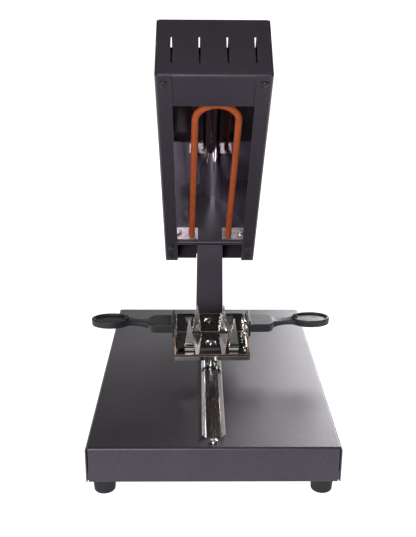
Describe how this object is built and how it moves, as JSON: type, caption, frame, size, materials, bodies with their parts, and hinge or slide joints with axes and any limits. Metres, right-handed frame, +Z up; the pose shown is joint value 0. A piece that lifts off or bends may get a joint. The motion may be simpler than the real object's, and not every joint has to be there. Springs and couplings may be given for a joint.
{
  "type": "raclette cheese melter",
  "caption": "Electric melter for a half wheel of cheese: folded steel base, sliding and swivelling spiked tray, tilting head with bent heating element and trough reflector.",
  "frame": {"origin": "centre of the outer box at the table, under the rubber feet", "axes": "+Z up; +Y from the front edge of the base to the post; +X to the right seen from the front"},
  "size_m": [0.3127, 0.4566, 0.5008],
  "materials": {
    "powder_coat": "fine texture satin",
    "polished_steel": "polished",
    "mirror_sheet": "mirror polished",
    "zinc_plate": "zinc plated",
    "bright_screw": "bright zinc",
    "dark_screw": "black, semi gloss",
    "element": "heat stained tube, satin",
    "rubber": "matte",
    "handle_plastic": "fine grain",
    "switch_plastic": "gloss",
    "ceramic": "glazed ceramic",
    "inner_steel": "plain"
  },
  "bodies": {
    "base": {"base_shell": "powder_coat", "bottom_plate": "powder_coat", "foot_front_left": "rubber", "foot_front_right": "rubber", "foot_rear_left": "rubber", "foot_rear_right": "rubber", "foot_screws": "inner_steel", "bottom_plate_screws": "dark_screw", "slide_rail": "polished_steel", "rail_stop_screw": "bright_screw", "post": "powder_coat", "post_bracket": "inner_steel", "post_bolts": "inner_steel", "hinge_pin": "dark_screw"},
    "head": {"head_side_left": "powder_coat", "head_side_right": "powder_coat", "head_cover": "powder_coat", "head_end_wall": "powder_coat", "terminal_wall": "powder_coat", "reflector": "mirror_sheet", "reflector_end_plate": "mirror_sheet", "heating_element": "element", "element_bushes": "ceramic", "element_plate_left": "zinc_plate", "element_plate_right": "zinc_plate", "element_plate_screws": "bright_screw", "head_flange_screws": "dark_screw", "cover_screws": "dark_screw", "hinge_bracket": "inner_steel", "hinge_washers": "switch_plastic", "cord_gland": "switch_plastic", "switch_housing": "switch_plastic", "wall_plug": "switch_plastic", "terminal_block": "ceramic"},
    "carriage": {"glide_foot": "polished_steel", "stud": "polished_steel", "pivot_screw": "polished_steel"},
    "tray": {"cheese_plate": "polished_steel", "tray_cradle": "polished_steel", "handle_left": "handle_plastic", "handle_right": "handle_plastic", "handle_screws": "bright_screw"},
    "rocker": {"switch_rocker": "switch_plastic"}
  },
  "joints": [
    {"name": "head_tilt", "type": "hinge", "parent": "base", "child": "head", "pos_m": [0, 0.14233, 0.172], "axis": [1, 0, 0], "range_deg": [-24, 36]},
    {"name": "tray_slide", "type": "slide", "parent": "base", "child": "carriage", "axis": [0, 1, 0], "range_m": [-0.165, 0.06]},
    {"name": "tray_swivel", "type": "hinge", "parent": "carriage", "child": "tray", "pos_m": [0, -0.02727, 0.09], "axis": [0, 0, 1], "range_deg": [-60, 60]},
    {"name": "switch_rock", "type": "hinge", "parent": "head", "child": "rocker", "pos_m": [-0.038, 0.20208, 0.19222], "axis": [0, 0.7727, 0.6347], "range_deg": [0, 12]}
  ]
}
